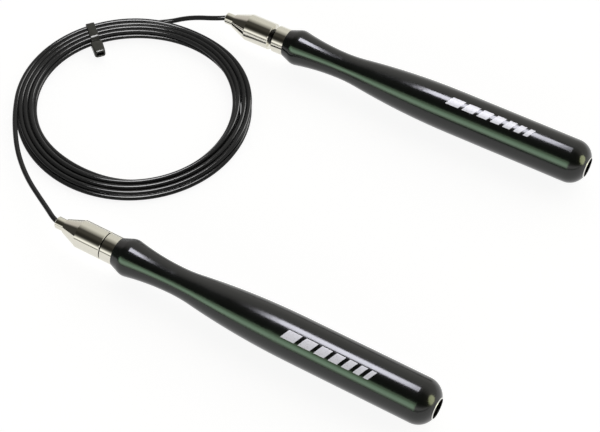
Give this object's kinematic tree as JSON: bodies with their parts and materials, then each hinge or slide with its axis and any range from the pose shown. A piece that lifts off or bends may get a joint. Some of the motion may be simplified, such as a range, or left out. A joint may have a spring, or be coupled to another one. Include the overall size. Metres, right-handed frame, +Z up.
{
  "type": "jump rope",
  "caption": "Speed jump rope with slim waisted black handles, plated ball-bearing swivel heads with collet nuts, and a thin black cable wound in a tied coil.",
  "frame": {"origin": "on the floor, midway between the two handles' cable mouths and tails: the bottom centre of the box of both handles and heads", "axes": "+X along the near handle's axis from its cable mouth to its tail, +Y from the near handle to the far one, +Z up"},
  "size_m": [0.2653, 0.1711, 0.021],
  "materials": {
    "handle": "gloss black lacquer over turned tube, bare metal at the tail chamfer",
    "plating": "bright nickel plate",
    "bearing_steel": "ground and polished",
    "turned_steel": "turned, black oxide",
    "spring_steel": "oiled black",
    "plain_aluminium": "turned",
    "cage": "moulded nylon",
    "seal": "moulded",
    "cap": "moulded",
    "cable_jacket": "glossy jacket over a stranded core",
    "tie": "moulded nylon"
  },
  "bodies": {
    "rope": {"near_spindle": "turned_steel", "near_front_inner_race": "bearing_steel", "near_inner_spacer": "plain_aluminium", "near_rear_inner_race": "bearing_steel", "near_lock_washer": "spring_steel", "near_lock_nut": "spring_steel", "near_collet": "plating", "near_cable_end": "cable_jacket", "near_end_cap": "cap", "far_spindle": "turned_steel", "far_front_inner_race": "bearing_steel", "far_inner_spacer": "plain_aluminium", "far_rear_inner_race": "bearing_steel", "far_lock_washer": "spring_steel", "far_lock_nut": "spring_steel", "far_collet": "plating", "far_cable_end": "cable_jacket", "far_end_cap": "cap", "cable_lead_near": "cable_jacket", "cable_lead_far": "cable_jacket", "cable_coil": "cable_jacket", "cable_tie": "tie"},
    "near_handle": {"near_handle_shell": "handle", "near_bearing_housing": "plating", "near_front_outer_race": "bearing_steel", "near_outer_spacer": "plain_aluminium", "near_rear_outer_race": "bearing_steel", "near_circlip": "spring_steel", "near_front_shield": "bearing_steel", "near_rear_shield": "bearing_steel"},
    "near_seal": {"near_nut_seal": "seal"},
    "near_nut": {"near_nose_nut": "plating"},
    "near_front_ball_set": {"near_front_balls": "bearing_steel", "near_front_cage": "cage"},
    "near_rear_ball_set": {"near_rear_balls": "bearing_steel", "near_rear_cage": "cage"},
    "far_handle": {"far_handle_shell": "handle", "far_bearing_housing": "plating", "far_front_outer_race": "bearing_steel", "far_outer_spacer": "plain_aluminium", "far_rear_outer_race": "bearing_steel", "far_circlip": "spring_steel", "far_front_shield": "bearing_steel", "far_rear_shield": "bearing_steel"},
    "far_seal": {"far_nut_seal": "seal"},
    "far_nut": {"far_nose_nut": "plating"},
    "far_front_ball_set": {"far_front_balls": "bearing_steel", "far_front_cage": "cage"},
    "far_rear_ball_set": {"far_rear_balls": "bearing_steel", "far_rear_cage": "cage"}
  },
  "joints": [
    {"name": "near_swivel", "type": "hinge", "parent": "rope", "child": "near_handle", "pos_m": [-0.0622, -0.075, 0.0105], "axis": [1, 0, 0], "continuous": true},
    {"name": "near_front_ball_orbit", "type": "hinge", "parent": "rope", "child": "near_front_ball_set", "pos_m": [-0.0672, -0.075, 0.0105], "axis": [1, 0, 0], "continuous": true},
    {"name": "near_rear_ball_orbit", "type": "hinge", "parent": "rope", "child": "near_rear_ball_set", "pos_m": [-0.0572, -0.075, 0.0105], "axis": [1, 0, 0], "continuous": true},
    {"name": "near_nut_travel", "type": "slide", "parent": "rope", "child": "near_seal", "axis": [-1, 0, 0], "range_m": [0, 0.0015]},
    {"name": "near_nut_turn", "type": "hinge", "parent": "near_seal", "child": "near_nut", "pos_m": [-0.0809, -0.075, 0.0105], "axis": [-1, 0, 0], "range_deg": [0, 720]},
    {"name": "far_swivel", "type": "hinge", "parent": "rope", "child": "far_handle", "pos_m": [-0.06219, 0.07283, 0.0105], "axis": [0.9999, 0.0148, 0], "continuous": true},
    {"name": "far_front_ball_orbit", "type": "hinge", "parent": "rope", "child": "far_front_ball_set", "pos_m": [-0.06719, 0.07275, 0.0105], "axis": [0.9999, 0.0148, 0], "continuous": true},
    {"name": "far_rear_ball_orbit", "type": "hinge", "parent": "rope", "child": "far_rear_ball_set", "pos_m": [-0.05719, 0.0729, 0.0105], "axis": [0.9999, 0.0148, 0], "continuous": true},
    {"name": "far_nut_travel", "type": "slide", "parent": "rope", "child": "far_seal", "axis": [-0.9999, -0.0148, 0], "range_m": [0, 0.0015]},
    {"name": "far_nut_turn", "type": "hinge", "parent": "far_seal", "child": "far_nut", "pos_m": [-0.08089, 0.07255, 0.0105], "axis": [-0.9999, -0.0148, 0], "range_deg": [0, 720]}
  ],
  "couplings": [
    {"joint": "near_front_ball_orbit", "follows": "near_swivel", "ratio": 0.62154},
    {"joint": "near_rear_ball_orbit", "follows": "near_swivel", "ratio": 0.62154},
    {"joint": "near_nut_turn", "follows": "near_nut_travel", "rad_per_m": 8377.6},
    {"joint": "far_front_ball_orbit", "follows": "far_swivel", "ratio": 0.62154},
    {"joint": "far_rear_ball_orbit", "follows": "far_swivel", "ratio": 0.62154},
    {"joint": "far_nut_turn", "follows": "far_nut_travel", "rad_per_m": 8377.6}
  ]
}
